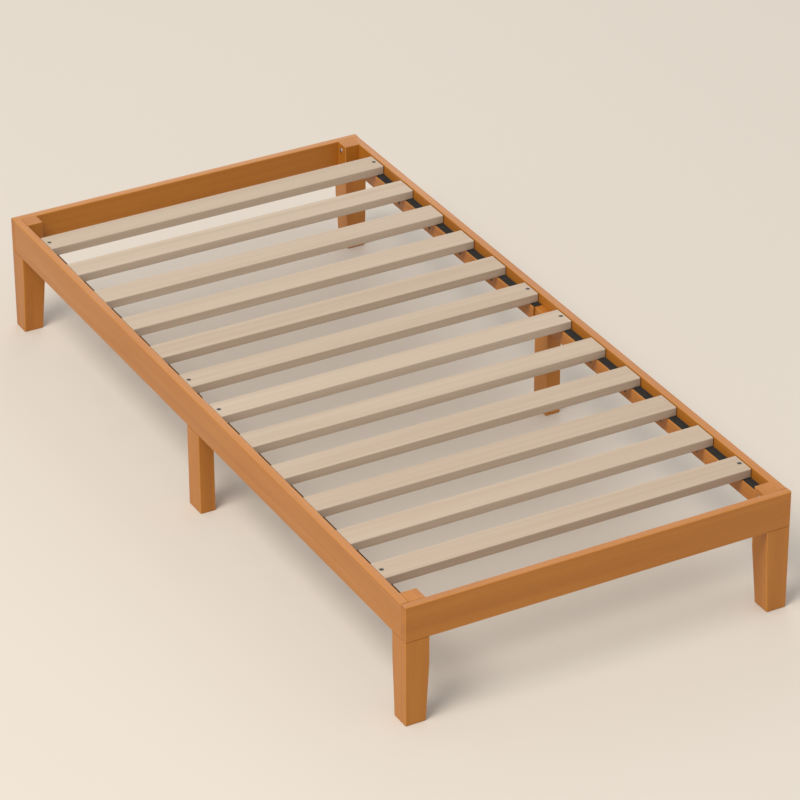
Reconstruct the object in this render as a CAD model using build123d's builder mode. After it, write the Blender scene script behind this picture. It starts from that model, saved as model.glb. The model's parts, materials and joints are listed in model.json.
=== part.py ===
from build123d import *
import os

# Single bed frame in stained wood with twelve loose-laid slats. Millimetres.
# X runs across the bed, +Y towards the head end, +Z up. The origin is on the
# floor, below the middle of the bed.

# Whole bed
bed_width = 980.0
bed_length = 2055.0
bed_height = 304.0

# Rails: the end rails run the full width, the side rails butt between them
rail_height = 90.0
rail_thickness = 20.0
rail_edge_radius = 2.5

# Corner legs: a square leg with a thinner post that stands inside the corner
post_size = 40.0
leg_foot_size = 51.0
leg_taper_height = 150.0
leg_edge_radius = 2.5
leg_foot_chamfer = 1.5
post_edge_radius = 1.0

# Middle legs: half way along each side rail, with a tongue behind the rail
mid_leg_width = 40.0
mid_leg_length = 60.0

# Ledges that carry the slats, and the grip strips on top of them. Both reach the foot
# posts and stop short of the head posts
ledge_width = 24.0
ledge_height = 38.0
ledge_end_gap = 1.0
ledge_head_gap = 36.0
ledge_edge_radius = 1.5
strip_width = 22.0
strip_thickness = 1.5

# Slats, numbered from the head end. The inset runs from each end rail's inner face
# to the middle line of the slat nearest to it, and the pitch spreads the rest evenly
slat_count = 12
slat_width = 66.0
slat_thickness = 24.0
slat_inset = 144.0
slat_recess = 2.5
slat_end_gap = 2.0
slat_edge_radius = 3.0
slat_end_radius = 1.0
screwed_slats = (1, 6, 7, 12)

# Wood screws with countersunk heads and a cross recess
screw_shank_radius = 2.25
screw_head_radius = 5.5
screw_head_sink = 0.5
screw_tip_length = 5.0
screw_tip_radius = 0.3
screw_angle = 90.0
slat_screw_length = 45.0
ledge_screw_length = 38.0
cross_length = 4.6
cross_width = 1.0
cross_depth = 1.6

# Flat-headed furniture bolts and the threaded inserts they screw into
bolt_radius = 3.0
bolt_head_radius = 6.0
bolt_head_height = 2.2
bolt_head_bevel = 0.6
bolt_socket_radius = 2.3
bolt_socket_depth = 1.8
bolt_thread_length = 10.0
bolt_edge_inset = 18.0
bolt_end_inset = 16.5
insert_radius = 5.0
insert_length = 13.0
mid_bolt_spacing = 32.0
mid_bolt_height = 24.0

# Glued dowels between the end rails and the posts
dowel_radius = 5.0
dowel_chamfer = 1.0
dowel_in_post = 26.0
dowel_in_rail = 12.0
dowel_spacing = 20.0

# Clearances
thread_gap = 0.05
bolt_clearance = 0.5
screw_clearance = 0.25
hole_end_gap = 1.0

# Places that follow from the sizes above
half_width = bed_width / 2
half_length = bed_length / 2
leg_size = rail_thickness + post_size
rail_bottom_z = bed_height - rail_height
rail_mid_z = bed_height - rail_height / 2
rail_inner_x = half_width - rail_thickness
rail_inner_y = half_length - rail_thickness
post_inner_x = half_width - leg_size
post_inner_y = half_length - leg_size
post_mid_x = rail_inner_x - post_size / 2
post_mid_y = rail_inner_y - post_size / 2
mid_leg_inner_x = half_width - mid_leg_width
tongue_thickness = mid_leg_width - rail_thickness
side_rail_length = 2 * rail_inner_y
slat_top_z = bed_height - slat_recess
slat_bottom_z = slat_top_z - slat_thickness
ledge_top_z = slat_bottom_z - strip_thickness
ledge_mid_z = ledge_top_z - ledge_height / 2
ledge_inner_x = rail_inner_x - ledge_width
ledge_mid_x = rail_inner_x - ledge_width / 2
ledge_start_y = mid_leg_length / 2 + ledge_end_gap
slat_length = 2 * (rail_inner_x - slat_end_gap)
slat_pitch = 2 * (rail_inner_y - slat_inset) / (slat_count - 1)
tongue_height = ledge_top_z - rail_bottom_z
bolt_spacing = rail_height - 2 * bolt_edge_inset
corner_bolt_y = rail_inner_y - bolt_end_inset
mid_bolt_z = rail_bottom_z + mid_bolt_height
screw_head_height = screw_head_radius - screw_shank_radius

sides = {"left": -1, "right": 1}
ends = {"head": 1, "foot": -1}

low = (Align.CENTER, Align.CENTER, Align.MIN)
high = (Align.CENTER, Align.CENTER, Align.MAX)

os.makedirs("parts", exist_ok=True)


def save(piece, name):
    piece.part.label = name
    export_step(piece.part, f"parts/{name}.step")


def facing_in(side, x, y, z):
    # A plane at side * x that faces the middle of the bed across its width
    return Plane(origin=(side * x, y, z), x_dir=(0, -side, 0), z_dir=(-side, 0, 0))


def facing_middle(end, x, y, z):
    # A plane at end * y that faces the middle of the bed along its length
    return Plane(origin=(x, end * y, z), x_dir=(end, 0, 0), z_dir=(0, -end, 0))


def slat_y(number):
    return ((slat_count + 1) / 2 - number) * slat_pitch


def ledge_length(end):
    return post_inner_y - (ledge_head_gap if end > 0 else ledge_end_gap) - ledge_start_y


def ledge_mid_y(end):
    return end * (ledge_start_y + ledge_length(end) / 2)


def slats_of(end):
    # Numbers of the slats that lie on one end's ledges
    return [n for n in range(1, slat_count + 1) if slat_y(n) * end > 0]


def corner_bolt_planes(side, x):
    return [
        facing_in(side, x, end * corner_bolt_y, rail_mid_z + step * bolt_spacing / 2)
        for end in ends.values()
        for step in (-1, 1)
    ]


def mid_bolt_planes(side, x):
    return [
        facing_in(side, x, step * mid_bolt_spacing / 2, mid_bolt_z) for step in (-1, 1)
    ]


def dowel_planes(end, side):
    return [
        facing_middle(end, side * post_mid_x, rail_inner_y, rail_mid_z + step * dowel_spacing / 2)
        for step in (-1, 1)
    ]


def ledge_screw_planes(side, end, x):
    # The ledges are screwed to the rails below the slats that are not screwed down
    return [
        facing_in(side, x, slat_y(n), ledge_mid_z)
        for n in slats_of(end)
        if n not in screwed_slats
    ]


def slat_screw_points(side, end, z):
    return [(side * ledge_mid_x, slat_y(n), z) for n in slats_of(end) if n in screwed_slats]


# Side rails, with blind holes for the inserts and for the ends of the ledge screws
def make_side_rail(side):
    with BuildPart() as rail:
        with BuildSketch(facing_in(side, rail_inner_x, 0, rail_mid_z)):
            Rectangle(side_rail_length, rail_height)
        extrude(amount=-rail_thickness)
        fillet(rail.edges().filter_by(Axis.Y), rail_edge_radius)
        insert_planes = corner_bolt_planes(side, rail_inner_x) + mid_bolt_planes(side, rail_inner_x)
        with Locations(*insert_planes):
            Hole(insert_radius + thread_gap, depth=insert_length + hole_end_gap)
        for end in ends.values():
            with Locations(*ledge_screw_planes(side, end, rail_inner_x)):
                Hole(
                    screw_shank_radius + thread_gap,
                    depth=ledge_screw_length - ledge_width + hole_end_gap,
                )
    return rail


for side_name, side in sides.items():
    save(make_side_rail(side), f"{side_name}_side_rail")


# End rails, with blind holes for the dowels
def make_end_rail(end):
    with BuildPart() as rail:
        with BuildSketch(facing_middle(end, 0, rail_inner_y, rail_mid_z)):
            Rectangle(bed_width, rail_height)
        extrude(amount=-rail_thickness)
        outer_face = rail.faces().sort_by(Axis.Y)[-1 if end > 0 else 0]
        fillet(rail.edges().filter_by(Axis.X) + outer_face.edges().filter_by(Axis.Z), rail_edge_radius)
        for side in sides.values():
            with Locations(*dowel_planes(end, side)):
                Hole(dowel_radius + thread_gap, depth=dowel_in_rail + hole_end_gap)
    return rail


for end_name, end in ends.items():
    save(make_end_rail(end), f"{end_name}_rail")


# Corner legs: tapered foot, square body with a shoulder under the rails, post above
def make_corner_leg(side, end):
    def outer_square(size, z):
        # A square that keeps the leg's outer corner on the bed's outer corner
        centre = (side * (half_width - size / 2), end * (half_length - size / 2))
        with BuildSketch(Plane.XY.offset(z)) as square:
            with Locations(centre):
                Rectangle(size, size)
        return square

    foot = outer_square(leg_foot_size, 0)
    body = outer_square(leg_size, leg_taper_height)
    with BuildPart() as leg:
        loft([foot.sketch.face(), body.sketch.face()])
        extrude(body.sketch.face(), amount=rail_bottom_z - leg_taper_height)
        with BuildSketch(Plane.XY.offset(rail_bottom_z)):
            with Locations((side * post_mid_x, end * post_mid_y)):
                Rectangle(post_size, post_size)
        extrude(amount=rail_height)
        # Only the innermost edge is eased above the shoulder: the rails hide the rest
        upright = leg.edges().filter_by(Plane.XY, reverse=True)
        above = upright.filter_by_position(Axis.Z, rail_bottom_z, bed_height)
        hidden = above.sort_by_distance((0, 0, rail_mid_z))[1:]
        fillet(upright - hidden, leg_edge_radius)
        chamfer(leg.faces().sort_by(Axis.Z)[0].edges(), leg_foot_chamfer)
        fillet(leg.faces().sort_by(Axis.Z)[-1].edges(), post_edge_radius)
        bolt_planes = [
            plane for plane in corner_bolt_planes(side, post_inner_x) if plane.origin.Y * end > 0
        ]
        with Locations(*bolt_planes):
            Hole(bolt_radius + bolt_clearance, depth=post_size)
        with Locations(*[-plane for plane in dowel_planes(end, side)]):
            Hole(dowel_radius + thread_gap, depth=dowel_in_post + hole_end_gap)
    return leg


for side_name, side in sides.items():
    for end_name, end in ends.items():
        save(make_corner_leg(side, end), f"corner_leg_{end_name}_{side_name}")


# Middle legs: the rail sits on the shoulder and is bolted to the tongue
def make_mid_leg(side):
    with BuildPart() as leg:
        with BuildSketch(Plane.XY):
            with Locations((side * (half_width - mid_leg_width / 2), 0)):
                Rectangle(mid_leg_width, mid_leg_length)
        extrude(amount=rail_bottom_z)
        with BuildSketch(Plane.XY.offset(rail_bottom_z)):
            with Locations((side * (rail_inner_x - tongue_thickness / 2), 0)):
                Rectangle(tongue_thickness, mid_leg_length)
        extrude(amount=tongue_height)
        fillet(leg.edges().filter_by(Axis.Z), leg_edge_radius)
        chamfer(leg.faces().sort_by(Axis.Z)[0].edges(), leg_foot_chamfer)
        fillet(leg.faces().sort_by(Axis.Z)[-1].edges(), post_edge_radius)
        with Locations(*mid_bolt_planes(side, mid_leg_inner_x)):
            Hole(bolt_radius + bolt_clearance, depth=tongue_thickness)
    return leg


for side_name, side in sides.items():
    save(make_mid_leg(side), f"mid_leg_{side_name}")


# Ledges: each side rail carries two, one each side of the middle leg's tongue
def make_ledge(side, end):
    with BuildPart() as ledge:
        with BuildSketch(facing_in(side, ledge_inner_x, ledge_mid_y(end), ledge_mid_z)):
            Rectangle(ledge_length(end), ledge_height)
        extrude(amount=-ledge_width)
        inner_face = ledge.faces().sort_by(Axis.X)[0 if side > 0 else -1]
        fillet(inner_face.edges().filter_by(Axis.Y), ledge_edge_radius)
        with Locations(*ledge_screw_planes(side, end, ledge_inner_x)):
            CounterSinkHole(
                screw_shank_radius + screw_clearance,
                screw_head_radius + screw_head_sink,
                depth=ledge_width,
                counter_sink_angle=screw_angle,
            )
        screw_depth = slat_screw_length + screw_head_sink - slat_thickness - strip_thickness
        with Locations(*slat_screw_points(side, end, ledge_top_z)):
            Hole(screw_shank_radius + thread_gap, depth=screw_depth + hole_end_gap)
    return ledge


# Grip strips: flat tape along the ledges, flush with the rail
def make_strip(side, end):
    with BuildPart() as strip:
        with BuildSketch(Plane.XY.offset(ledge_top_z)):
            with Locations((side * (rail_inner_x - strip_width / 2), ledge_mid_y(end))):
                Rectangle(strip_width, ledge_length(end))
        extrude(amount=strip_thickness)
        with Locations(*slat_screw_points(side, end, slat_bottom_z)):
            Hole(screw_shank_radius + screw_clearance, depth=strip_thickness)
    return strip


for side_name, side in sides.items():
    for end_name, end in ends.items():
        save(make_ledge(side, end), f"ledge_{end_name}_{side_name}")
        save(make_strip(side, end), f"grip_strip_{end_name}_{side_name}")


# Slats: two pairs at the ends and in the middle are screwed down, the rest lie loose
def make_slat(number):
    with BuildPart() as slat:
        with BuildSketch(Plane.XY.offset(slat_bottom_z)):
            with Locations((0, slat_y(number))):
                Rectangle(slat_length, slat_width)
        extrude(amount=slat_thickness)
        fillet(slat.edges().filter_by(Axis.X), slat_edge_radius)
        slat_ends = slat.faces().filter_by(Axis.X)
        fillet(slat_ends.edges(), slat_end_radius)
        if number in screwed_slats:
            with Locations((0, slat_y(number), slat_top_z)):
                with GridLocations(2 * ledge_mid_x, slat_pitch, 2, 1):
                    CounterSinkHole(
                        screw_shank_radius + screw_clearance,
                        screw_head_radius + screw_head_sink,
                        depth=slat_thickness,
                        counter_sink_angle=screw_angle,
                    )
    return slat


for number in range(1, slat_count + 1):
    save(make_slat(number), f"slat_{number:02d}")


# Wood screws: each plane lies on the wood's face and looks out of it
def make_screws(planes, length):
    heads = [plane.offset(-screw_head_sink) for plane in planes]
    shank_length = length - screw_tip_length
    with BuildPart() as screws:
        with Locations(*heads):
            Cone(screw_shank_radius, screw_head_radius, screw_head_height, align=high)
            Cylinder(screw_shank_radius, shank_length, align=high)
        with Locations(*[plane.offset(-shank_length) for plane in heads]):
            Cone(screw_tip_radius, screw_shank_radius, screw_tip_length, align=high)
        with Locations(*heads):
            Box(cross_length, cross_width, cross_depth, align=high, mode=Mode.SUBTRACT)
            Box(cross_width, cross_length, cross_depth, align=high, mode=Mode.SUBTRACT)
    return screws


slat_screw_planes = []
ledge_planes = []
for side in sides.values():
    for end in ends.values():
        slat_screw_planes += [Plane(point) for point in slat_screw_points(side, end, slat_top_z)]
        ledge_planes += ledge_screw_planes(side, end, ledge_inner_x)
save(make_screws(slat_screw_planes, slat_screw_length), "slat_screws")
save(make_screws(ledge_planes, ledge_screw_length), "ledge_screws")


# Furniture bolts: wide flat head with a hexagon socket, head on the wood's face
def make_bolts(planes, grip):
    with BuildPart() as bolts:
        with Locations(*planes):
            Cone(bolt_head_radius, bolt_head_radius - bolt_head_bevel, bolt_head_height, align=low)
            Cylinder(bolt_radius, grip + bolt_thread_length, align=high)
        with BuildSketch(*[plane.offset(bolt_head_height) for plane in planes]):
            RegularPolygon(bolt_socket_radius, 6)
        extrude(amount=-bolt_socket_depth, mode=Mode.SUBTRACT)
    return bolts


# Threaded inserts: sleeves pressed into the side rails, flush with the inner face
def make_inserts(planes):
    with BuildPart() as inserts:
        with Locations(*planes):
            Cylinder(insert_radius, insert_length, align=high)
            Cylinder(bolt_radius + thread_gap, insert_length, align=high, mode=Mode.SUBTRACT)
    return inserts


corner_bolts = []
corner_inserts = []
mid_bolts = []
mid_inserts = []
for side in sides.values():
    corner_bolts += corner_bolt_planes(side, post_inner_x)
    corner_inserts += corner_bolt_planes(side, rail_inner_x)
    mid_bolts += mid_bolt_planes(side, mid_leg_inner_x)
    mid_inserts += mid_bolt_planes(side, rail_inner_x)
save(make_bolts(corner_bolts, post_size), "corner_bolts")
save(make_inserts(corner_inserts), "corner_inserts")
save(make_bolts(mid_bolts, tongue_thickness), "mid_leg_bolts")
save(make_inserts(mid_inserts), "mid_leg_inserts")


# Dowels: half in the post, half in the end rail
with BuildPart() as dowels:
    for end in ends.values():
        for side in sides.values():
            outer_ends = [plane.offset(-dowel_in_rail) for plane in dowel_planes(end, side)]
            with Locations(*outer_ends):
                Cylinder(dowel_radius, dowel_in_rail + dowel_in_post, align=low)
    chamfer(dowels.edges().filter_by(GeomType.CIRCLE), dowel_chamfer)
save(dowels, "rail_dowels")
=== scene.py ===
import json
import math
import random
import bpy
from mathutils import Matrix, Vector


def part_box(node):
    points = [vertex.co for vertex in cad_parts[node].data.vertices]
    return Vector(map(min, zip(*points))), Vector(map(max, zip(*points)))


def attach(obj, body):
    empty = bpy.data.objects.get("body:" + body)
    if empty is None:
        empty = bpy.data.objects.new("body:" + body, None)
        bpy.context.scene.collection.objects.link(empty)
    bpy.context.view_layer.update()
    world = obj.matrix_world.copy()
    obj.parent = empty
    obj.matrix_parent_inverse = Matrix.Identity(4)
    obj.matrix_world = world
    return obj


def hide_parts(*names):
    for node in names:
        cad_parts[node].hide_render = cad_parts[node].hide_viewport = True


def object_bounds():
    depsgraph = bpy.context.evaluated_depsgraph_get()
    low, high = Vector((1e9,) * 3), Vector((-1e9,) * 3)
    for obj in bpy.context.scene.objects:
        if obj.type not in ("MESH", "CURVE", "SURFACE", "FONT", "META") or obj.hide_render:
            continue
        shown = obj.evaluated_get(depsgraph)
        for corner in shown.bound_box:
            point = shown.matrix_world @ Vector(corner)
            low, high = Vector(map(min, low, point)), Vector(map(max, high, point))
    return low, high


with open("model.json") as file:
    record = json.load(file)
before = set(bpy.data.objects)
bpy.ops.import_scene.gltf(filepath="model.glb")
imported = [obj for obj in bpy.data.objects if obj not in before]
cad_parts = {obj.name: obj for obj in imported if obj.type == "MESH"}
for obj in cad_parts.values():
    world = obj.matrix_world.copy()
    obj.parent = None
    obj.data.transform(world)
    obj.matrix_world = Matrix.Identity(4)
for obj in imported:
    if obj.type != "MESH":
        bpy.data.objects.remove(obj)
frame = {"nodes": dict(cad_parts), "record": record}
cadLow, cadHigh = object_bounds()
millimetre = 0.001
ends = {"head": 1, "foot": -1}


# Camera, turned round the middle of the bed on the floor, then slid aside and up
cameraPlan = dict(
    azimuth=-28.644,
    elevation=30.052,
    roll=-0.206,
    lens=179.0,
    sensorWidth=36.0,
    distance=9.563,
    aside=0.0526,
    above=0.1361,
    farthest=100.0,
)


def addCamera():
    turn = Matrix.Rotation(math.radians(cameraPlan["azimuth"]), 3, "Z")
    tilt = Matrix.Rotation(math.radians(90 - cameraPlan["elevation"]), 3, "X")
    roll = Matrix.Rotation(math.radians(cameraPlan["roll"]), 3, "Z")
    attitude = turn @ tilt @ roll
    place = attitude @ Vector((cameraPlan["aside"], cameraPlan["above"], 0))
    place += turn @ tilt @ Vector((0, 0, cameraPlan["distance"]))
    data = bpy.data.cameras.new("bedCamera")
    data.lens = cameraPlan["lens"]
    data.sensor_width = cameraPlan["sensorWidth"]
    data.clip_end = cameraPlan["farthest"]
    camera = bpy.data.objects.new("bedCamera", data)
    bpy.context.scene.collection.objects.link(camera)
    camera.matrix_world = Matrix.Translation(place) @ attitude.to_4x4()
    bpy.context.scene.camera = camera


addCamera()
print("stage: camera set")


# Node helpers: an input is given a value, or a socket to be linked to
def addNode(tree, kind, settings=None, inputs=None):
    node = tree.nodes.new(kind)
    for key, value in (settings or {}).items():
        setattr(node, key, value)
    for key, value in (inputs or {}).items():
        feed(tree, node.inputs[key], value)
    return node


def feed(tree, socket, value):
    if isinstance(value, bpy.types.NodeSocket):
        tree.links.new(value, socket)
    else:
        socket.default_value = value


def mixColours(tree, share, under, over, blend="MIX"):
    node = tree.nodes.new("ShaderNodeMix")
    node.data_type = "RGBA"
    node.blend_type = blend
    feed(tree, node.inputs[0], share)  # the colour sockets of a Mix node are 6 and 7
    feed(tree, node.inputs[6], under)
    feed(tree, node.inputs[7], over)
    return node.outputs[2]


def calculate(tree, operation, first, second=0.0):
    node = addNode(tree, "ShaderNodeMath", dict(operation=operation))
    feed(tree, node.inputs[0], first)
    feed(tree, node.inputs[1], second)
    return node.outputs[0]


def rangeOf(tree, value, low, high, newLow=0.0, newHigh=1.0):
    names = {"Value": value, "From Min": low, "From Max": high, "To Min": newLow, "To Max": newHigh}
    return addNode(tree, "ShaderNodeMapRange", None, names).outputs[0]


def readAttribute(tree, name, output):
    return addNode(tree, "ShaderNodeAttribute", dict(attribute_name=name)).outputs[output]


def stretchedNoise(tree, place, cycles, detail=2.0, roughness=0.5, distortion=0.0):
    # Noise with its own number of cycles a metre along each axis
    moved = addNode(tree, "ShaderNodeMapping", None, {"Vector": place, "Scale": cycles}).outputs[0]
    inputs = {"Vector": moved, "Scale": 1.0, "Detail": detail, "Roughness": roughness}
    inputs["Distortion"] = distortion
    return addNode(tree, "ShaderNodeTexNoise", None, inputs).outputs["Fac"]


def newMaterial(name):
    material = bpy.data.materials.new(name)
    material.use_nodes = True
    return material, material.node_tree, material.node_tree.nodes["Principled BSDF"]


def addBump(tree, shader, height, strength, distance, before=None):
    inputs = {"Height": height, "Strength": strength, "Distance": distance}
    if before:
        inputs["Normal"] = before
    bump = addNode(tree, "ShaderNodeBump", None, inputs).outputs[0]
    tree.links.new(bump, shader.inputs["Normal"])
    return bump


# What both woods share: how noise is turned into marks, and how rough the marks are
woodPlan = dict(
    rampEnds=(0.30, 0.70),
    ringStretch=(0.05, 1, 1),
    ringDetailScale=0.8,
    fibreRange=(0.35, 0.75),
    poreRange=(0.62, 0.74),
    cloudRange=(0.3, 0.75),
    roughnessRange=(0.25, 0.75),
    endRoughness=0.15,
    poreRoughness=0.08,
    fibreDepth=0.06 * millimetre,
    poreDepth=0.08 * millimetre,
    waveDepth=0.4 * millimetre,
)


def ringsAcross(tree, place, look):
    # Growth rings round the middle of the tree, which is the X axis of the grain's place
    moved = addNode(
        tree, "ShaderNodeMapping", None, {"Vector": place, "Scale": woodPlan["ringStretch"]}
    ).outputs[0]
    settings = dict(wave_type="RINGS", rings_direction="X", wave_profile="SAW")
    inputs = {
        "Vector": moved,
        "Scale": look["ringScale"],
        "Distortion": look["ringWander"],
        "Detail": 2.0,
        "Detail Scale": woodPlan["ringDetailScale"],
    }
    return addNode(tree, "ShaderNodeTexWave", settings, inputs).outputs["Fac"]


# Wood: a solid grain that runs along the board, so its ends show the rings cut across.
# The boards carry their own grain place in metres, a tone each, and marks on the faces
# that are end grain or an eased edge; the eased edges get a painted highlight, a lighter colour.
def makeWood(name, look):
    material, tree, shader = newMaterial(name)
    place = readAttribute(tree, "grainPlace", "Vector")
    tone = readAttribute(tree, "boardTone", "Fac")
    endFace = readAttribute(tree, "endGrain", "Fac")
    easedEdge = readAttribute(tree, "easedEdge", "Fac")

    bands = stretchedNoise(tree, place, look["bandCycles"], 3.0, 0.55, 0.4)
    rings = ringsAcross(tree, place, look)
    fibres = stretchedNoise(tree, place, look["fibreCycles"], 4.0, 0.6)
    poreNoise = stretchedNoise(tree, place, look["poreCycles"], 1.0)
    pores = rangeOf(tree, poreNoise, *woodPlan["poreRange"])
    clouds = stretchedNoise(tree, place, look["cloudCycles"], 2.0, 0.5)

    ground = addNode(tree, "ShaderNodeValToRGB", None, {"Fac": bands})
    ramp = ground.color_ramp.elements
    for stop, position, tint in zip(ramp, woodPlan["rampEnds"], ("dark", "pale")):
        stop.position = position
        stop.color = (*look[tint], 1)
    middle = ramp.new(0.5)
    middle.color = (*look["middle"], 1)
    colour = ground.outputs["Color"]
    ringShare = calculate(tree, "MULTIPLY", rings, look["ringShare"])
    colour = mixColours(tree, ringShare, colour, (*look["ringDark"], 1), "MULTIPLY")
    fibreShare = rangeOf(tree, fibres, *woodPlan["fibreRange"], 0.0, look["fibreShare"])
    colour = mixColours(tree, fibreShare, colour, (*look["fibreDark"], 1), "MULTIPLY")
    poreShare = calculate(tree, "MULTIPLY", pores, look["poreShare"])
    colour = mixColours(tree, poreShare, colour, (*look["poreDark"], 1))
    cloudShare = rangeOf(tree, clouds, *woodPlan["cloudRange"], 0.0, look["cloudShare"])
    colour = mixColours(tree, cloudShare, colour, (*look["cloudColour"], 1), "MULTIPLY")
    toneShare = calculate(tree, "MULTIPLY", tone, look["toneShare"])
    colour = mixColours(tree, toneShare, colour, (*look["toneColour"], 1), "MULTIPLY")
    # painted highlight: the eased edges are mixed towards a lighter colour, standing in for the light
    # their rounding catches
    edgeHighlightShare = calculate(tree, "MULTIPLY", easedEdge, look["edgeHighlightShare"])
    colour = mixColours(tree, edgeHighlightShare, colour, (*look["edgeHighlightColour"], 1))
    endShare = calculate(tree, "MULTIPLY", endFace, look["endShare"])
    colour = mixColours(tree, endShare, colour, (*look["endColour"], 1), "MULTIPLY")
    tree.links.new(colour, shader.inputs["Base Color"])

    roughness = rangeOf(tree, clouds, *woodPlan["roughnessRange"], *look["roughness"])
    endRoughness = calculate(tree, "MULTIPLY", endFace, woodPlan["endRoughness"])
    roughness = calculate(tree, "ADD", roughness, endRoughness)
    poreRoughness = calculate(tree, "MULTIPLY", pores, woodPlan["poreRoughness"])
    roughness = calculate(tree, "ADD", roughness, poreRoughness)
    tree.links.new(roughness, shader.inputs["Roughness"])
    shader.inputs["Coat Weight"].default_value = look["coat"]
    shader.inputs["Coat Roughness"].default_value = look["coatRoughness"]
    shader.inputs["Specular IOR Level"].default_value = look["specular"]

    fibreBump = addBump(tree, shader, fibres, look["fibreBump"], woodPlan["fibreDepth"])
    poreHeight = calculate(tree, "SUBTRACT", 1.0, pores)
    poreBump = addBump(tree, shader, poreHeight, look["poreBump"], woodPlan["poreDepth"], fibreBump)
    addBump(tree, shader, clouds, look["waveBump"], woodPlan["waveDepth"], poreBump)
    return material


# Honey-orange stain under a satin clear coat
honeyLook = dict(
    dark=(0.425, 0.150, 0.0135),
    middle=(0.470, 0.172, 0.0170),
    pale=(0.510, 0.194, 0.0220),
    bandCycles=(0.9, 34, 34),
    ringScale=13.0,
    ringWander=2.2,
    ringShare=0.13,
    ringDark=(0.80, 0.66, 0.48),
    fibreCycles=(9, 1100, 1100),
    fibreShare=0.28,
    fibreDark=(0.80, 0.70, 0.55),
    poreCycles=(70, 2400, 2400),
    poreShare=0.30,
    poreDark=(0.23, 0.066, 0.009),
    cloudCycles=(3.5, 16, 16),
    cloudShare=0.26,
    cloudColour=(0.88, 0.80, 0.70),
    toneShare=0.5,
    toneColour=(0.90, 0.84, 0.76),
    # painted highlight along the eased edges: how much, and its lighter colour
    edgeHighlightShare=0.30,
    edgeHighlightColour=(0.64, 0.305, 0.075),
    endShare=0.20,
    endColour=(0.74, 0.62, 0.50),
    roughness=(0.36, 0.50),
    coat=0.30,
    coatRoughness=0.30,
    specular=0.3,
    fibreBump=0.35,
    poreBump=0.35,
    waveBump=0.06,
)

# Planed softwood, unfinished, a little grey
slatLook = dict(
    dark=(0.480, 0.378, 0.284),
    middle=(0.510, 0.407, 0.310),
    pale=(0.540, 0.437, 0.338),
    bandCycles=(0.7, 60, 60),
    ringScale=10.0,
    ringWander=1.6,
    ringShare=0.09,
    ringDark=(0.86, 0.78, 0.68),
    fibreCycles=(10, 1000, 1000),
    fibreShare=0.20,
    fibreDark=(0.86, 0.80, 0.74),
    poreCycles=(40, 1500, 1500),
    poreShare=0.10,
    poreDark=(0.30, 0.215, 0.150),
    cloudCycles=(2.5, 20, 20),
    cloudShare=0.20,
    cloudColour=(0.92, 0.88, 0.84),
    toneShare=1.0,
    toneColour=(0.90, 0.87, 0.84),
    # painted highlight along the eased edges: how much, and its lighter colour
    edgeHighlightShare=0.25,
    edgeHighlightColour=(0.62, 0.52, 0.41),
    endShare=0.40,
    endColour=(0.76, 0.68, 0.60),
    roughness=(0.66, 0.80),
    coat=0.0,
    coatRoughness=0.5,
    specular=0.35,
    fibreBump=0.9,
    poreBump=0.3,
    waveBump=0.08,
)


# Woven anti-slip tape: fine yarns across and along the ribs, with dust in the hollows
tapeLook = dict(
    dark=(0.012, 0.010, 0.008),
    pale=(0.026, 0.022, 0.018),
    dust=(0.085, 0.072, 0.058),
    dustShare=0.25,
    dustCycles=(160, 60, 160),
    dustRange=(0.5, 0.8),
    yarnPitch=0.9 * millimetre,
    yarnWander=0.3,
    wavePeriod=0.314,  # what a wave of scale 1 repeats after
    roughness=(0.95, 0.86),
    sheen=0.15,
    sheenRoughness=0.5,
    specular=0.3,
    yarnBump=0.6,
    yarnDepth=0.15 * millimetre,
)


def makeTape():
    material, tree, shader = newMaterial("gripTape")
    place = addNode(tree, "ShaderNodeTexCoord").outputs["Object"]
    waveScale = tapeLook["wavePeriod"] / tapeLook["yarnPitch"]
    heights = []
    for axis in ("X", "Y"):
        inputs = {"Vector": place, "Scale": waveScale, "Distortion": tapeLook["yarnWander"]}
        settings = dict(wave_type="BANDS", bands_direction=axis, wave_profile="SIN")
        heights.append(addNode(tree, "ShaderNodeTexWave", settings, inputs).outputs["Fac"])
    weave = calculate(tree, "MULTIPLY", *heights)
    colour = mixColours(tree, weave, (*tapeLook["dark"], 1), (*tapeLook["pale"], 1))
    dust = stretchedNoise(tree, place, tapeLook["dustCycles"], 4.0, 0.6)
    patches = rangeOf(tree, dust, *tapeLook["dustRange"])
    dustShare = calculate(tree, "MULTIPLY", patches, tapeLook["dustShare"])
    colour = mixColours(tree, dustShare, colour, (*tapeLook["dust"], 1))
    tree.links.new(colour, shader.inputs["Base Color"])
    roughness = rangeOf(tree, weave, 0, 1, *tapeLook["roughness"])
    tree.links.new(roughness, shader.inputs["Roughness"])
    shader.inputs["Sheen Weight"].default_value = tapeLook["sheen"]
    shader.inputs["Sheen Roughness"].default_value = tapeLook["sheenRoughness"]
    shader.inputs["Specular IOR Level"].default_value = tapeLook["specular"]
    addBump(tree, shader, weave, tapeLook["yarnBump"], tapeLook["yarnDepth"])
    return material


# Metals: a worked surface with fine scratches, cloudy plating and a little grime
metalPlan = dict(
    cloudCycles=(420, 420, 420),
    wornRange=(0.42, 0.66),
    scratchCycles=(240, 5200, 1700),
    scratchRange=(0.55, 0.8),
    scratchShare=0.3,
    roughnessRange=(0.3, 0.7),
    scratchBump=0.25,
    scratchDepth=0.03 * millimetre,
)
blackLook = dict(
    base=(0.050, 0.047, 0.044),
    worn=(0.19, 0.18, 0.17),
    roughness=(0.38, 0.58),
    metal=0.85,
)
zincLook = dict(
    base=(0.50, 0.51, 0.52),
    worn=(0.68, 0.69, 0.70),
    roughness=(0.24, 0.40),
    metal=1.0,
)


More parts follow.
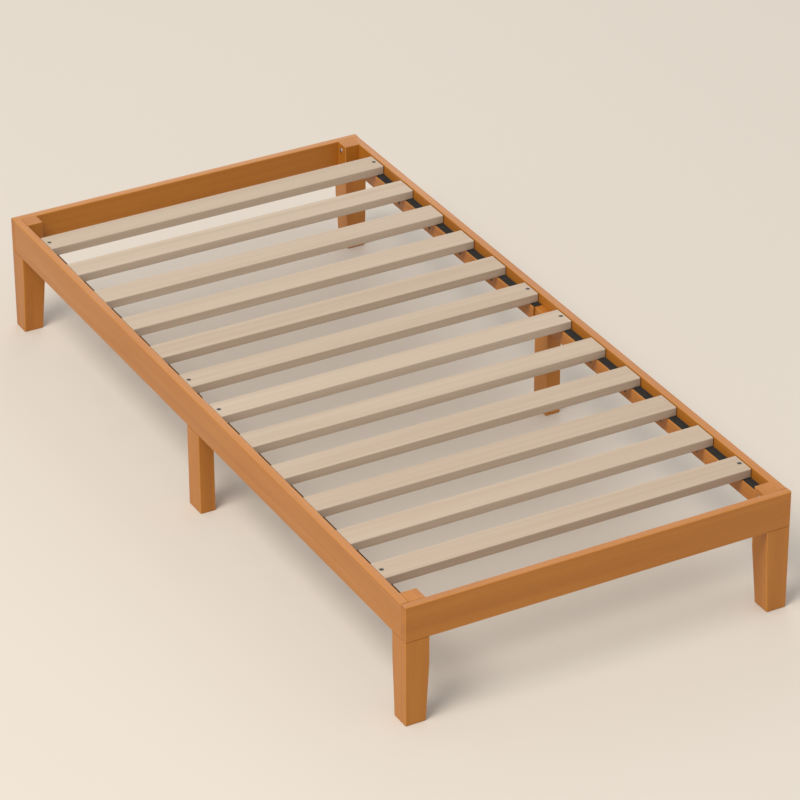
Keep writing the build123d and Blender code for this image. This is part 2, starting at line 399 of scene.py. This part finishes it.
def makeMetal(name, look):
    material, tree, shader = newMaterial(name)
    place = addNode(tree, "ShaderNodeTexCoord").outputs["Object"]
    clouds = stretchedNoise(tree, place, metalPlan["cloudCycles"], 3.0)
    scratches = stretchedNoise(tree, place, metalPlan["scratchCycles"], 3.0, 0.7)
    wornShare = rangeOf(tree, clouds, *metalPlan["wornRange"])
    colour = mixColours(tree, wornShare, (*look["base"], 1), (*look["worn"], 1))
    scratchShare = rangeOf(tree, scratches, *metalPlan["scratchRange"], 0, metalPlan["scratchShare"])
    colour = mixColours(tree, scratchShare, colour, (*look["worn"], 1))
    tree.links.new(colour, shader.inputs["Base Color"])
    roughness = rangeOf(tree, scratches, *metalPlan["roughnessRange"], *look["roughness"])
    tree.links.new(roughness, shader.inputs["Roughness"])
    shader.inputs["Metallic"].default_value = look["metal"]
    addBump(tree, shader, scratches, metalPlan["scratchBump"], metalPlan["scratchDepth"])
    return material


# Raw beech for the dowels: short flecks along the grain, which runs along the bed
beechLook = dict(
    dark=(0.56, 0.38, 0.21),
    pale=(0.70, 0.52, 0.33),
    bandCycles=(260, 9, 260),
    fleck=(0.36, 0.21, 0.10),
    fleckCycles=(1400, 220, 1400),
    fleckRange=(0.6, 0.72),
    fleckShare=0.5,
    roughnessRange=(0.3, 0.7),
    roughness=(0.60, 0.76),
    bandBump=0.5,
    bandDepth=0.06 * millimetre,
)


def makeBeech():
    material, tree, shader = newMaterial("rawBeech")
    place = addNode(tree, "ShaderNodeTexCoord").outputs["Object"]
    bands = stretchedNoise(tree, place, beechLook["bandCycles"], 3.0)
    fleckNoise = stretchedNoise(tree, place, beechLook["fleckCycles"], 1.0)
    flecks = rangeOf(tree, fleckNoise, *beechLook["fleckRange"])
    colour = mixColours(tree, bands, (*beechLook["dark"], 1), (*beechLook["pale"], 1))
    fleckShare = calculate(tree, "MULTIPLY", flecks, beechLook["fleckShare"])
    colour = mixColours(tree, fleckShare, colour, (*beechLook["fleck"], 1))
    tree.links.new(colour, shader.inputs["Base Color"])
    roughness = rangeOf(tree, bands, *beechLook["roughnessRange"], *beechLook["roughness"])
    tree.links.new(roughness, shader.inputs["Roughness"])
    addBump(tree, shader, bands, beechLook["bandBump"], beechLook["bandDepth"])
    return material


honeyWood = makeWood("honeyStainedWood", honeyLook)
slatWood = makeWood("planedSlatWood", slatLook)
gripTape = makeTape()
blackSteel = makeMetal("blackScrewSteel", blackLook)
zincSteel = makeMetal("zincPlatedSteel", zincLook)
rawBeech = makeBeech()
print("stage: six materials made")


# Floor, world and lights
stagePlan = dict(
    floorSize=60.0,
    floorColour=(0.64, 0.58, 0.505),
    floorRoughness=0.85,
    floorSpecular=0.2,
    worldColour=(0.93, 0.96, 1.0),
    worldStrength=0.69,
    keyPlace=(-6.8, -2.9, 10.8),
    keySize=6.5,
    keyPower=1290.0,
    keyColour=(1.0, 0.955, 0.89),
    rearPlace=(3.3, 6.1, 4.0),
    rearSize=4.0,
    rearPower=60.0,
    rearColour=(1.0, 0.95, 0.86),
)


def aimedLight(name, place, size, power, colour):
    data = bpy.data.lights.new(name, "AREA")
    data.shape = "DISK"
    data.size = size
    data.energy = power
    data.color = colour
    light = bpy.data.objects.new(name, data)
    bpy.context.scene.collection.objects.link(light)
    light.location = place
    light.rotation_mode = "QUATERNION"
    light.rotation_quaternion = (-Vector(place)).to_track_quat("-Z", "Y")


def setStage():
    scene = bpy.context.scene
    scene.view_settings.view_transform = "Standard"
    bpy.ops.object.select_all(action="DESELECT")
    bpy.ops.mesh.primitive_plane_add(size=stagePlan["floorSize"], location=(0, 0, cadLow.z))
    floor = bpy.context.active_object
    floor.name = "paleFloor"
    bpy.ops.object.transform_apply(location=True, rotation=True, scale=True)
    material, tree, shader = newMaterial("paleFloor")
    shader.inputs["Base Color"].default_value = (*stagePlan["floorColour"], 1)
    shader.inputs["Roughness"].default_value = stagePlan["floorRoughness"]
    shader.inputs["Specular IOR Level"].default_value = stagePlan["floorSpecular"]
    floor.data.materials.append(material)

    world = bpy.data.worlds.new("paleRoom")
    scene.world = world
    world.use_nodes = True
    sky = world.node_tree.nodes["Background"]
    sky.inputs["Color"].default_value = (*stagePlan["worldColour"], 1)
    sky.inputs["Strength"].default_value = stagePlan["worldStrength"]
    for role in ("key", "rear"):
        values = [stagePlan[role + part] for part in ("Place", "Size", "Power", "Colour")]
        aimedLight(role + "Light", *values)


setStage()
print("stage: floor and lights set")


# Modelling helpers
tools = dict(
    tolerance=0.01 * millimetre,
    weldDistance=0.001 * millimetre,
    facing=0.9,  # how squarely a face looks one way to count as facing it
    flatAngle=math.radians(1),
    smoothAngle=math.radians(35),
    drillSides=32,
    drillOverrun=0.5 * millimetre,
    breakOut=1.0 * millimetre,
)


def makeActive(piece):
    bpy.ops.object.select_all(action="DESELECT")
    piece.select_set(True)
    bpy.context.view_layer.objects.active = piece


def addBlock(name, low, high):
    # A block between two corners, with its place in its mesh
    bpy.ops.object.select_all(action="DESELECT")
    bpy.ops.mesh.primitive_cube_add(size=1, location=(low + high) / 2)
    block = bpy.context.active_object
    block.name = name
    block.scale = high - low
    bpy.ops.object.transform_apply(location=True, rotation=True, scale=True)
    return block


def editSelected(piece, kind, test):
    # Edit mode, with only the faces or edges selected that pass the test
    makeActive(piece)
    bpy.ops.object.mode_set(mode="EDIT")
    bpy.ops.mesh.select_mode(type=kind)
    bpy.ops.mesh.select_all(action="DESELECT")
    bpy.ops.object.mode_set(mode="OBJECT")
    corners = piece.data.vertices
    if kind == "FACE":
        for face in piece.data.polygons:
            face.select = test(face)
    else:
        for edge in piece.data.edges:
            edge.select = test(*[corners[number].co for number in edge.vertices])
    bpy.ops.object.mode_set(mode="EDIT")


def bevelEdges(piece, width, segments, test):
    editSelected(piece, "EDGE", test)
    bpy.ops.mesh.bevel(offset=width, segments=segments, affect="EDGES", clamp_overlap=False)
    bpy.ops.object.mode_set(mode="OBJECT")


def near(first, second):
    return abs(first - second) < tools["tolerance"]


def runsAlong(axis):
    # A test for the edges that run along one axis: 0, 1 and 2 are X, Y and Z
    others = [other for other in (0, 1, 2) if other != axis]
    return lambda a, b: all(near(a[other], b[other]) for other in others)


def liesOn(axis, level):
    # A test for the edges of a flat end or face
    return lambda a, b: near(a[axis], level) and near(b[axis], level)


def copyPiece(piece, name, shift=(0, 0, 0), flip=(1, 1, 1)):
    # A copy with its own mesh, moved or mirrored
    copy = piece.copy()
    copy.data = piece.data.copy()
    copy.name = name
    bpy.context.scene.collection.objects.link(copy)
    makeActive(copy)
    copy.location = shift
    copy.scale = flip
    bpy.ops.object.transform_apply(location=True, rotation=True, scale=True)
    bpy.ops.object.mode_set(mode="EDIT")
    bpy.ops.mesh.select_all(action="SELECT")
    bpy.ops.mesh.normals_make_consistent(inside=False)
    bpy.ops.object.mode_set(mode="OBJECT")
    return copy


def finishShape(piece):
    # Smooth over the eased edges, and keep the flat faces flat
    makeActive(piece)
    bpy.ops.object.shade_smooth_by_angle(angle=tools["smoothAngle"])
    bpy.ops.object.modifier_add(type="WEIGHTED_NORMAL")
    piece.modifiers[-1].keep_sharp = True
    bpy.ops.object.modifier_apply(modifier=piece.modifiers[-1].name)


def solidBoxes(node):
    # The box of each separate solid in a CAD node, from a copy that is thrown away
    copy = frame["nodes"][node].copy()
    copy.data = copy.data.copy()
    bpy.context.scene.collection.objects.link(copy)
    makeActive(copy)
    bpy.ops.object.mode_set(mode="EDIT")
    bpy.ops.mesh.select_all(action="SELECT")
    bpy.ops.mesh.remove_doubles(threshold=tools["weldDistance"])
    bpy.ops.mesh.separate(type="LOOSE")
    bpy.ops.object.mode_set(mode="OBJECT")
    boxes = []
    for part in list(bpy.context.selected_objects):
        places = [corner.co for corner in part.data.vertices]
        low = Vector([min(place[axis] for place in places) for axis in range(3)])
        high = Vector([max(place[axis] for place in places) for axis in range(3)])
        boxes.append((low, high))
        bpy.data.objects.remove(part)
    return boxes


def addCutter(start, end, radius, mouth):
    # A drill from start to end, wider at the start where the hole has a countersunk mouth
    length = (end - start).length
    over = tools["drillOverrun"]
    foot = mouth - radius if mouth else 0
    bpy.ops.object.select_all(action="DESELECT")
    bpy.ops.mesh.primitive_cylinder_add(
        vertices=tools["drillSides"],
        radius=radius,
        depth=length - foot,
        location=(0, 0, -(length + foot) / 2),
    )
    cutter = bpy.context.active_object
    bpy.ops.object.transform_apply(location=True, rotation=True, scale=True)
    editSelected(cutter, "FACE", lambda face: face.normal.z > tools["facing"])
    bpy.ops.mesh.extrude_region_move(TRANSFORM_OT_translate={"value": (0, 0, foot + over)})
    if mouth:
        widen = (mouth + over) / radius
        bpy.ops.transform.resize(value=(widen, widen, 1), center_override=(0, 0, over))
    bpy.ops.object.mode_set(mode="OBJECT")
    cutter.rotation_mode = "QUATERNION"
    cutter.rotation_quaternion = (start - end).to_track_quat("Z", "Y")
    cutter.location = start
    bpy.ops.object.transform_apply(location=True, rotation=True, scale=True)
    return cutter


def drillHoles(piece, holes):
    # Cuts holes, each given as (start, end, radius, mouth radius or None)
    cutters = [addCutter(*hole) for hole in holes]
    makeActive(cutters[0])
    for cutter in cutters:
        cutter.select_set(True)
    if len(cutters) > 1:
        bpy.ops.object.join()
    drill = bpy.context.active_object
    makeActive(piece)
    bpy.ops.object.modifier_add(type="BOOLEAN")
    modifier = piece.modifiers[-1]
    modifier.operation = "DIFFERENCE"
    modifier.solver = "EXACT"
    modifier.object = drill
    bpy.ops.object.modifier_apply(modifier=modifier.name)
    bpy.data.objects.remove(drill)


def boxMiddle(box):
    return (box[0] + box[1]) / 2


def holeLine(box, axis, first, last):
    # The two ends of a hole along one axis, through the middle of a fastener's box
    start, end = boxMiddle(box), boxMiddle(box)
    start[axis] = first
    end[axis] = last
    return start, end


# What every timber gets when its shape is done: the grain's place, its tone and its marks
grainPlan = dict(
    pithNear=0.035,  # the middle of the tree lies at least this far outside the board
    pithFar=0.110,
    lengthSpread=40.0,
    endFacing=0.9,  # how squarely a face looks along the board to be end grain
    flatFacing=0.985,  # faces that look less squarely along an axis are eased edges
    seed=2817,
)
grainDraw = random.Random(grainPlan["seed"])


def giveGrain(piece, axis):
    low = Vector(piece.bound_box[0])
    high = Vector(piece.bound_box[6])
    middle = (low + high) / 2
    across = [other for other in (0, 1, 2) if other != axis]
    turn = grainDraw.uniform(0, 2 * math.pi)
    reach = grainDraw.uniform(grainPlan["pithNear"], grainPlan["pithFar"])
    along = grainDraw.uniform(0, grainPlan["lengthSpread"])
    tone = grainDraw.random()
    pith = (reach * math.cos(turn), reach * math.sin(turn))
    mesh = piece.data
    marks = {"grainPlace": "POINT", "boardTone": "POINT", "endGrain": "FACE", "easedEdge": "FACE"}
    for name, domain in marks.items():
        mesh.attributes.new(name, "FLOAT_VECTOR" if name == "grainPlace" else "FLOAT", domain)
    grainPlace, boardTone, endGrain, easedEdge = [mesh.attributes[name] for name in marks]
    for number, corner in enumerate(mesh.vertices):
        place = corner.co - middle
        sideways = [place[other] + offset for other, offset in zip(across, pith)]
        grainPlace.data[number].vector = (place[axis] + along, *sideways)
        boardTone.data[number].value = tone
    for number, face in enumerate(mesh.polygons):
        steepest = max(abs(part) for part in face.normal)
        endGrain.data[number].value = float(abs(face.normal[axis]) > grainPlan["endFacing"])
        # eased-edge faces, which the wood materials paint with a lighter highlight
        easedEdge.data[number].value = float(steepest < grainPlan["flatFacing"])


def handOver(piece, node, material, body="frame"):
    # The piece stands for its CAD node and moves with that node's body
    piece.data.materials.clear()
    piece.data.materials.append(material)
    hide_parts(node)
    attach(piece, body)


# Rails. Their long edges are well rounded, and so are the bed's four upright corners.
railPlan = dict(
    edgeRadius=2.5 * millimetre,
    edgeSegments=5,
    endEase=0.3 * millimetre,
    holePlay=0.05 * millimetre,
    holeRoom=1.0 * millimetre,
)
insertBoxes = solidBoxes("corner_inserts") + solidBoxes("mid_leg_inserts")
ledgeScrewBoxes = solidBoxes("ledge_screws")
slatScrewBoxes = solidBoxes("slat_screws")
boltBoxes = solidBoxes("corner_bolts") + solidBoxes("mid_leg_bolts")
dowelBoxes = solidBoxes("rail_dowels")
screwShankRadius = 2.25 * millimetre
boltHoleRadius = 3.5 * millimetre


def divideBetweenHoles(rail):
    # Short faces with a hole or two in each keep the drilled face clean
    rows = sorted({round(boxMiddle(box).y, 4) for box in insertBoxes + ledgeScrewBoxes})
    editSelected(rail, "FACE", lambda face: True)
    for first, second in zip(rows, rows[1:]):
        bpy.ops.mesh.select_all(action="SELECT")
        bpy.ops.mesh.bisect(plane_co=(0, (first + second) / 2, 0), plane_no=(0, 1, 0))
    bpy.ops.object.mode_set(mode="OBJECT")


def makeSideRail():
    low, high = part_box("right_side_rail")
    rail = addBlock("rightSideRail", low, high)
    bevelEdges(rail, railPlan["edgeRadius"], railPlan["edgeSegments"], runsAlong(1))
    for level in (low.y, high.y):
        bevelEdges(rail, railPlan["endEase"], 1, liesOn(1, level))
    divideBetweenHoles(rail)
    holes = []
    for box in insertBoxes + ledgeScrewBoxes:
        if boxMiddle(box).x > 0:
            radius = screwShankRadius if box in ledgeScrewBoxes else (box[1].z - box[0].z) / 2
            line = holeLine(box, 0, low.x, box[1].x + railPlan["holeRoom"])
            holes.append((*line, radius + railPlan["holePlay"], None))
    drillHoles(rail, holes)
    return rail


def makeEndRail():
    low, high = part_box("head_rail")
    rail = addBlock("headRail", low, high)
    isUpright = runsAlong(2)
    isLong = runsAlong(0)

    def isRounded(a, b):
        return isLong(a, b) or (isUpright(a, b) and near(a.y, high.y))

    bevelEdges(rail, railPlan["edgeRadius"], railPlan["edgeSegments"], isRounded)
    holes = []
    for box in dowelBoxes:
        if boxMiddle(box).y > 0:
            radius = (box[1].z - box[0].z) / 2 + railPlan["holePlay"]
            line = holeLine(box, 1, low.y, box[1].y + railPlan["holeRoom"])
            holes.append((*line, radius, None))
    drillHoles(rail, holes)
    return rail


def makeRails():
    sideRail = makeSideRail()
    endRail = makeEndRail()
    rails = {
        "right_side_rail": (sideRail, 1),
        "left_side_rail": (copyPiece(sideRail, "leftSideRail", flip=(-1, 1, 1)), 1),
        "head_rail": (endRail, 0),
        "foot_rail": (copyPiece(endRail, "footRail", flip=(1, -1, 1)), 0),
    }
    for node, (rail, axis) in rails.items():
        finishShape(rail)
        giveGrain(rail, axis)
        handOver(rail, node, honeyWood)


makeRails()
print("stage: four rails made")


# Corner legs: a tapered foot, a square body with a shoulder for the rails, and a post
cornerLegPlan = dict(
    taperHeight=150 * millimetre,
    taper=9 * millimetre,
    edgeRadius=2.5 * millimetre,
    edgeSegments=5,
    footChamfer=1.5 * millimetre,
    postEase=1.0 * millimetre,
    postSegments=3,
)


def moveFoot(leg, axis, level, distance):
    # Slides one bottom edge of the leg, which makes the taper
    onFloor = liesOn(2, 0)
    onSide = liesOn(axis, level)
    editSelected(leg, "EDGE", lambda a, b: onFloor(a, b) and onSide(a, b))
    value = [0, 0, 0]
    value[axis] = distance
    bpy.ops.transform.translate(value=value)
    bpy.ops.object.mode_set(mode="OBJECT")


def cutTop(leg, level, place, direction):
    # Divides the leg's top face along a line
    def onTop(face):
        return face.normal.z > tools["facing"] and near(face.center.z, level)

    editSelected(leg, "FACE", onTop)
    bpy.ops.mesh.bisect(plane_co=place, plane_no=direction)
    bpy.ops.object.mode_set(mode="OBJECT")


def raiseTop(leg, level, inside, height):
    # Extrudes the part of the top face whose middle is inside the post
    def isPost(face):
        isTop = face.normal.z > tools["facing"] and near(face.center.z, level)
        return isTop and inside(face.center)

    editSelected(leg, "FACE", isPost)
    bpy.ops.mesh.extrude_region_move(TRANSFORM_OT_translate={"value": (0, 0, height)})
    bpy.ops.mesh.select_all(action="SELECT")
    bpy.ops.mesh.dissolve_limited(angle_limit=tools["flatAngle"])
    bpy.ops.object.mode_set(mode="OBJECT")


def makeCornerLeg():
    plan = cornerLegPlan
    low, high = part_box("corner_leg_head_right")
    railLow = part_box("right_side_rail")[0]
    shoulder = railLow.z
    postX = railLow.x
    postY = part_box("head_rail")[0].y
    leg = addBlock("cornerLegHeadRight", low, Vector((high.x, high.y, shoulder)))
    editSelected(leg, "FACE", lambda face: True)
    bpy.ops.mesh.bisect(plane_co=(0, 0, plan["taperHeight"]), plane_no=(0, 0, 1))
    bpy.ops.object.mode_set(mode="OBJECT")
    moveFoot(leg, 0, low.x, plan["taper"])
    moveFoot(leg, 1, low.y, plan["taper"])
    cutTop(leg, shoulder, (postX, 0, 0), (1, 0, 0))
    cutTop(leg, shoulder, (0, postY, 0), (0, 1, 0))
    raiseTop(leg, shoulder, lambda place: place.x < postX and place.y < postY, high.z - shoulder)

    def isUpright(a, b):
        # Above the shoulder, only the innermost of the upright edges is rounded
        rises = abs(a.z - b.z) > shoulder - plan["taperHeight"] - tools["tolerance"]
        inner = near(max(a.x, b.x), low.x) and near(max(a.y, b.y), low.y)
        return rises and (inner or max(a.z, b.z) < shoulder + tools["tolerance"])

    bevelEdges(leg, plan["edgeRadius"], plan["edgeSegments"], isUpright)
    bevelEdges(leg, plan["footChamfer"], 1, liesOn(2, low.z))
    bevelEdges(leg, plan["postEase"], plan["postSegments"], liesOn(2, high.z))
    holes = []
    for box in boltBoxes:
        if boxMiddle(box).x > 0 and boxMiddle(box).y > low.y:
            line = holeLine(box, 0, low.x, postX + tools["breakOut"])
            holes.append((*line, boltHoleRadius, None))
    for box in dowelBoxes:
        if boxMiddle(box).x > 0 and boxMiddle(box).y > 0:
            radius = (box[1].z - box[0].z) / 2 + railPlan["holePlay"]
            line = holeLine(box, 1, postY, box[0].y - railPlan["holeRoom"])
            holes.append((*line, radius, None))
    drillHoles(leg, holes)
    return leg


# Middle legs: the rail sits on the shoulder, and a tongue stands behind it
midLegPlan = dict(
    edgeRadius=2.5 * millimetre,
    edgeSegments=5,
    footChamfer=1.5 * millimetre,
    tongueEase=1.0 * millimetre,
    tongueSegments=3,
)


def makeMidLeg():
    plan = midLegPlan
    low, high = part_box("mid_leg_right")
    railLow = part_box("right_side_rail")[0]
    shoulder = railLow.z
    tongueX = railLow.x
    leg = addBlock("midLegRight", low, Vector((high.x, high.y, shoulder)))
    cutTop(leg, shoulder, (tongueX, 0, 0), (1, 0, 0))
    raiseTop(leg, shoulder, lambda place: place.x < tongueX, high.z - shoulder)
    bevelEdges(leg, plan["edgeRadius"], plan["edgeSegments"], runsAlong(2))
    bevelEdges(leg, plan["footChamfer"], 1, liesOn(2, low.z))
    bevelEdges(leg, plan["tongueEase"], plan["tongueSegments"], liesOn(2, high.z))
    holes = []
    for box in boltBoxes:
        if boxMiddle(box).x > 0 and abs(boxMiddle(box).y) < high.y:
            line = holeLine(box, 0, low.x, tongueX + tools["breakOut"])
            holes.append((*line, boltHoleRadius, None))
    drillHoles(leg, holes)
    return leg


def makeLegs():
    # The first corner leg stands at the head end on the right, and the other three are mirrored
    cornerLeg = makeCornerLeg()
    midLeg = makeMidLeg()
    legs = {
        "corner_leg_head_right": cornerLeg,
        "corner_leg_head_left": copyPiece(cornerLeg, "cornerLegHeadLeft", flip=(-1, 1, 1)),
        "corner_leg_foot_right": copyPiece(cornerLeg, "cornerLegFootRight", flip=(1, -1, 1)),
        "corner_leg_foot_left": copyPiece(cornerLeg, "cornerLegFootLeft", flip=(-1, -1, 1)),
        "mid_leg_right": midLeg,
        "mid_leg_left": copyPiece(midLeg, "midLegLeft", flip=(-1, 1, 1)),
    }
    for node, leg in legs.items():
        finishShape(leg)
        giveGrain(leg, 2)
        handOver(leg, node, honeyWood)


makeLegs()
print("stage: four corner legs and two middle legs made")


# Ledges that carry the slats, with countersunk screws in their inner faces
ledgePlan = dict(
    edgeRadius=1.5 * millimetre,
    edgeSegments=4,
    endEase=0.6 * millimetre,
    endSegments=2,
    shankHole=2.5 * millimetre,
    screwMouth=6.0 * millimetre,
    pilotPlay=0.05 * millimetre,
)


def makeLedge(endName, end):
    plan = ledgePlan
    low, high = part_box(f"ledge_{endName}_right")
    ledge = addBlock(f"ledgeBoard_{endName}_right", low, high)
    isLong = runsAlong(1)

    def isInner(a, b):
        return isLong(a, b) and near(a.x, low.x)

    bevelEdges(ledge, plan["edgeRadius"], plan["edgeSegments"], isInner)
    for level in (low.y, high.y):
        bevelEdges(ledge, plan["endEase"], plan["endSegments"], liesOn(1, level))
    holes = []
    for box in ledgeScrewBoxes:
        middle = boxMiddle(box)
        if middle.x > 0 and middle.y * end > 0:
            line = holeLine(box, 0, low.x, high.x + tools["breakOut"])
            holes.append((*line, plan["shankHole"], plan["screwMouth"]))
    for box in slatScrewBoxes:
        middle = boxMiddle(box)
        if middle.x > 0 and middle.y * end > 0:
            line = holeLine(box, 2, high.z, box[0].z - tools["breakOut"])
            holes.append((*line, screwShankRadius + plan["pilotPlay"], None))
    drillHoles(ledge, holes)
    return ledge


# Grip strips: woven tape with raised cross ribs and a flat selvedge each side
stripPlan = dict(
    ribPitch=3.0 * millimetre,
    ribWidth=1.7 * millimetre,
    ribCrown=0.55,  # width of a rib's crown, as a share of its foot
    ribLean=0.5,  # how far a rib's ends lean in, as a share of its height
    tapeThickness=0.9 * millimetre,
    endFacing=0.99,  # squarer than the ribs' leaning sides
    smoothAngle=math.radians(20),
    selvedge=1.2 * millimetre,
    hole=2.5 * millimetre,
)


def makeStrip(endName, end):
    plan = stripPlan
    low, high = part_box(f"grip_strip_{endName}_right")
    count = round((high.y - low.y) / plan["ribPitch"])
    pitch = (high.y - low.y) / count
    top = low.z + plan["tapeThickness"]
    strip = addBlock(f"gripStrip_{endName}_right", low, Vector((high.x, low.y + pitch, top)))
    bands = [
        ((low.x + plan["selvedge"], 0, 0), (1, 0, 0)),
        ((high.x - plan["selvedge"], 0, 0), (1, 0, 0)),
        ((0, low.y + (pitch - plan["ribWidth"]) / 2, 0), (0, 1, 0)),
        ((0, low.y + (pitch + plan["ribWidth"]) / 2, 0), (0, 1, 0)),
    ]
    for place, direction in bands:
        cutTop(strip, top, place, direction)
    middle = Vector(((low.x + high.x) / 2, low.y + pitch / 2, top))
    editSelected(strip, "FACE", lambda face: (face.center - middle).length < tools["tolerance"])
    ribHeight = high.z - top
    bpy.ops.mesh.extrude_region_move(TRANSFORM_OT_translate={"value": (0, 0, ribHeight)})
    ribLength = high.x - low.x - 2 * plan["selvedge"]
    narrow = 1 - 2 * plan["ribLean"] * ribHeight / ribLength
    crown = (narrow, plan["ribCrown"], 1)
    bpy.ops.transform.resize(value=crown, center_override=(middle.x, middle.y, high.z))
    bpy.ops.object.mode_set(mode="OBJECT")
    editSelected(strip, "FACE", lambda face: abs(face.normal.y) > plan["endFacing"])
    bpy.ops.mesh.delete(type="FACE")
    bpy.ops.object.mode_set(mode="OBJECT")
    bpy.ops.object.modifier_add(type="ARRAY")
    array = strip.modifiers[-1]
    array.count = count
    array.use_relative_offset = False
    array.use_constant_offset = True
    array.constant_offset_displace = (0, pitch, 0)
    array.use_merge_vertices = True
    array.merge_threshold = tools["tolerance"]
    bpy.ops.object.modifier_apply(modifier=array.name)
    for level in (low.y, high.y):
        editSelected(strip, "EDGE", liesOn(1, level))
        bpy.ops.mesh.edge_face_add()
        bpy.ops.object.mode_set(mode="OBJECT")
    holes = []
    for box in slatScrewBoxes:
        middle = boxMiddle(box)
        if middle.x > 0 and middle.y * end > 0:
            line = holeLine(box, 2, high.z, low.z - tools["breakOut"])
            holes.append((*line, plan["hole"], None))
    drillHoles(strip, holes)
    return strip


def makeLedgesAndStrips():
    # The head pair is shorter than the foot pair, so each end has its own model
    for endName, end in ends.items():
        ledge = makeLedge(endName, end)
        strip = makeStrip(endName, end)
        leftLedge = copyPiece(ledge, f"ledgeBoard_{endName}_left", flip=(-1, 1, 1))
        leftStrip = copyPiece(strip, f"gripStrip_{endName}_left", flip=(-1, 1, 1))
        for sideName, piece in (("right", ledge), ("left", leftLedge)):
            finishShape(piece)
            giveGrain(piece, 1)
            handOver(piece, f"ledge_{endName}_{sideName}", honeyWood)
        for sideName, piece in (("right", strip), ("left", leftStrip)):
            makeActive(piece)
            bpy.ops.object.shade_smooth_by_angle(angle=stripPlan["smoothAngle"])
            handOver(piece, f"grip_strip_{endName}_{sideName}", gripTape)


makeLedgesAndStrips()
print("stage: four ledges and four grip strips made")


# Slats: planed, with well eased long edges. Four are screwed down, and eight lie loose.
slatPlan = dict(
    edgeRadius=3.0 * millimetre,
    edgeSegments=5,
    endRadius=1.0 * millimetre,
    endSegments=3,
    shankHole=2.5 * millimetre,
    screwMouth=6.0 * millimetre,
)


def makeSlat(node, name):
    plan = slatPlan
    low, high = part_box(node)
    slat = addBlock(name, low, high)
    bevelEdges(slat, plan["edgeRadius"], plan["edgeSegments"], runsAlong(0))
    for level in (low.x, high.x):
        bevelEdges(slat, plan["endRadius"], plan["endSegments"], liesOn(0, level))
    holes = []
    for box in slatScrewBoxes:
        if low.y < boxMiddle(box).y < high.y:
            line = holeLine(box, 2, high.z, low.z - tools["breakOut"])
            holes.append((*line, plan["shankHole"], plan["screwMouth"]))
    if holes:
        drillHoles(slat, holes)
    return slat


def makeSlats():
    nodes = sorted(name for name in frame["nodes"] if name.startswith("slat_") and name[5:].isdigit())
    bodyOf = {}
    for body, members in frame["record"]["behaviour"]["bodies"].items():
        bodyOf.update(dict.fromkeys(members, body))
    models = {}
    for node in nodes:
        kind = "screwedSlat" if bodyOf[node] == "frame" else "looseSlat"
        if kind not in models:
            models[kind] = (makeSlat(node, kind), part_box(node)[0])
        model, start = models[kind]
        slat = copyPiece(model, f"slatBoard_{node[5:]}", shift=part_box(node)[0] - start)
        finishShape(slat)
        giveGrain(slat, 0)
        handOver(slat, node, slatWood, bodyOf[node])
    for model, _ in models.values():
        bpy.data.objects.remove(model)
    return len(nodes)


print("stage:", makeSlats(), "slats made")


# Fastenings keep their CAD shape and get worked metal, and the dowels raw beech
fastenings = {
    "slat_screws": blackSteel,
    "ledge_screws": blackSteel,
    "corner_bolts": zincSteel,
    "corner_inserts": zincSteel,
    "mid_leg_bolts": zincSteel,
    "mid_leg_inserts": zincSteel,
    "rail_dowels": rawBeech,
}
for node, material in fastenings.items():
    for slot in frame["nodes"][node].material_slots:
        slot.material = material
print("stage: fastenings dressed")
